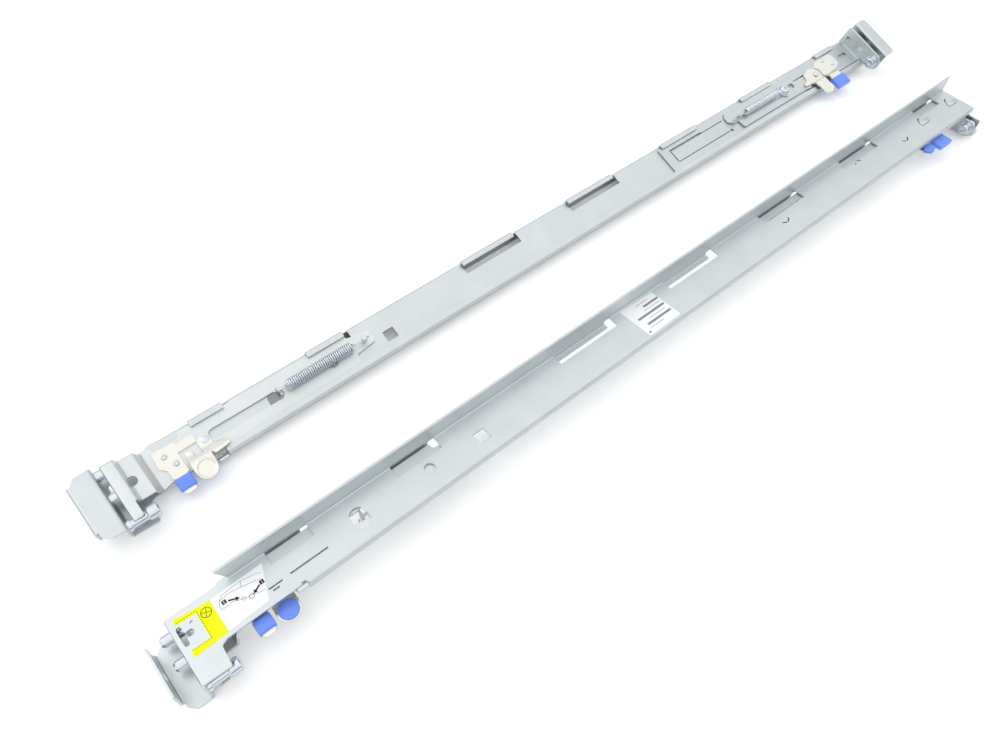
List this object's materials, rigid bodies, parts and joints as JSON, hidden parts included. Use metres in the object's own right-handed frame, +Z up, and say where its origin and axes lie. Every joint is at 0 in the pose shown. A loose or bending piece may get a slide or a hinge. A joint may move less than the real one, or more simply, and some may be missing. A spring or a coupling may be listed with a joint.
{
  "type": "sliding server rail pair",
  "caption": "Handed pair of sliding rack rails: bent sheet rails with spring-loaded pin slides at both ends, depth extension, squeeze levers with blue pads.",
  "frame": {"origin": "middle of the base of the pair, on the surface that it lies on", "axes": "+X along both rails from the front end to the rear end, +Y from the right rail to the left rail, +Z up"},
  "size_m": [0.7652, 0.1554, 0.0364],
  "materials": {
    "zinc_steel": "zinc-plated sheet, satin",
    "bright_zinc": "bright zinc-plated, polished",
    "nickel": "nickel-plated, bright",
    "blue_plastic": "moulded, satin",
    "paper": "printed label stock, matt",
    "yellow_paper": "printed label stock, matt"
  },
  "bodies": {
    "rails": {"left_main_rail": "zinc_steel", "left_receiver_stud": "bright_zinc", "left_receiver_barrel": "bright_zinc", "left_travel_pin": "bright_zinc", "right_main_rail": "zinc_steel", "right_receiver_stud": "bright_zinc", "right_receiver_barrel": "bright_zinc", "right_travel_pin": "bright_zinc", "left_front_spring": "bright_zinc", "right_front_spring": "bright_zinc", "right_window_label": "yellow_paper", "right_head_label": "paper", "right_web_label": "paper"},
    "left_front_slide": {"left_front_slide": "zinc_steel", "left_front_pins": "bright_zinc", "left_front_latch_plate": "nickel", "left_front_rivets": "bright_zinc", "left_front_grip": "blue_plastic", "left_front_lever_pivot": "bright_zinc"},
    "left_front_lever": {"left_front_thumb_lever": "nickel", "left_front_thumb_pad": "blue_plastic"},
    "left_rear_extension": {"left_rear_extension": "zinc_steel", "left_guide_screw": "bright_zinc", "left_guide_washer": "bright_zinc", "left_rear_spring": "bright_zinc"},
    "left_rear_slide": {"left_rear_slide": "zinc_steel", "left_rear_pins": "bright_zinc", "left_rear_screw": "bright_zinc", "left_rear_latch_plate": "nickel", "left_rear_rivets": "bright_zinc", "left_rear_grip": "blue_plastic", "left_rear_lever_pivot": "bright_zinc"},
    "left_rear_lever": {"left_rear_thumb_lever": "nickel", "left_rear_thumb_pad": "blue_plastic"},
    "right_front_slide": {"right_front_slide": "zinc_steel", "right_front_pins": "bright_zinc", "right_front_latch_plate": "nickel", "right_front_rivets": "bright_zinc", "right_front_grip": "blue_plastic", "right_front_lever_pivot": "bright_zinc"},
    "right_front_lever": {"right_front_thumb_lever": "nickel", "right_front_thumb_pad": "blue_plastic"},
    "right_rear_extension": {"right_rear_extension": "zinc_steel", "right_guide_screw": "bright_zinc", "right_guide_washer": "bright_zinc", "right_rear_spring": "bright_zinc"},
    "right_rear_slide": {"right_rear_slide": "zinc_steel", "right_rear_pins": "bright_zinc", "right_rear_screw": "bright_zinc", "right_rear_latch_plate": "nickel", "right_rear_rivets": "bright_zinc", "right_rear_grip": "blue_plastic", "right_rear_lever_pivot": "bright_zinc"},
    "right_rear_lever": {"right_rear_thumb_lever": "nickel", "right_rear_thumb_pad": "blue_plastic"}
  },
  "joints": [
    {"name": "left_front_slide_travel", "type": "slide", "parent": "rails", "child": "left_front_slide", "axis": [1, 0, 0], "range_m": [0, 0.014], "stiffness_N_per_m": 400, "springref_m": -0.012, "deforming": ["left_front_spring"]},
    {"name": "left_front_lever_squeeze", "type": "hinge", "parent": "left_front_slide", "child": "left_front_lever", "pos_m": [-0.30935, 0.05402, 0.01058], "axis": [0, 0.3048, -0.9524], "range_deg": [0, 6], "stiffness_Nm_per_rad": 0.06, "springref_deg": -6.88},
    {"name": "left_rear_depth", "type": "slide", "parent": "rails", "child": "left_rear_extension", "axis": [1, 0, 0], "range_m": [0, 0.08]},
    {"name": "left_rear_slide_travel", "type": "slide", "parent": "left_rear_extension", "child": "left_rear_slide", "axis": [-1, 0, 0], "range_m": [0, 0.0125], "stiffness_N_per_m": 400, "springref_m": -0.012, "deforming": ["left_rear_spring"]},
    {"name": "left_rear_lever_squeeze", "type": "hinge", "parent": "left_rear_slide", "child": "left_rear_lever", "pos_m": [0.30765, 0.05487, 0.01285], "axis": [0, -0.3048, 0.9524], "range_deg": [0, 6], "stiffness_Nm_per_rad": 0.06, "springref_deg": -6.88},
    {"name": "right_front_slide_travel", "type": "slide", "parent": "rails", "child": "right_front_slide", "axis": [1, 0, 0], "range_m": [0, 0.014], "stiffness_N_per_m": 400, "springref_m": -0.012, "deforming": ["right_front_spring"]},
    {"name": "right_front_lever_squeeze", "type": "hinge", "parent": "right_front_slide", "child": "right_front_lever", "pos_m": [-0.31715, -0.05319, 0.0195], "axis": [0, 0, -1], "range_deg": [0, 6], "stiffness_Nm_per_rad": 0.06, "springref_deg": -6.88},
    {"name": "right_rear_depth", "type": "slide", "parent": "rails", "child": "right_rear_extension", "axis": [1, 0, 0], "range_m": [0, 0.08]},
    {"name": "right_rear_slide_travel", "type": "slide", "parent": "right_rear_extension", "child": "right_rear_slide", "axis": [-1, 0, 0], "range_m": [0, 0.0125], "stiffness_N_per_m": 400, "springref_m": -0.012, "deforming": ["right_rear_spring"]},
    {"name": "right_rear_lever_squeeze", "type": "hinge", "parent": "right_rear_slide", "child": "right_rear_lever", "pos_m": [0.29985, -0.05169, 0.0176], "axis": [0, 0, 1], "range_deg": [0, 6], "stiffness_Nm_per_rad": 0.06, "springref_deg": -6.88}
  ]
}
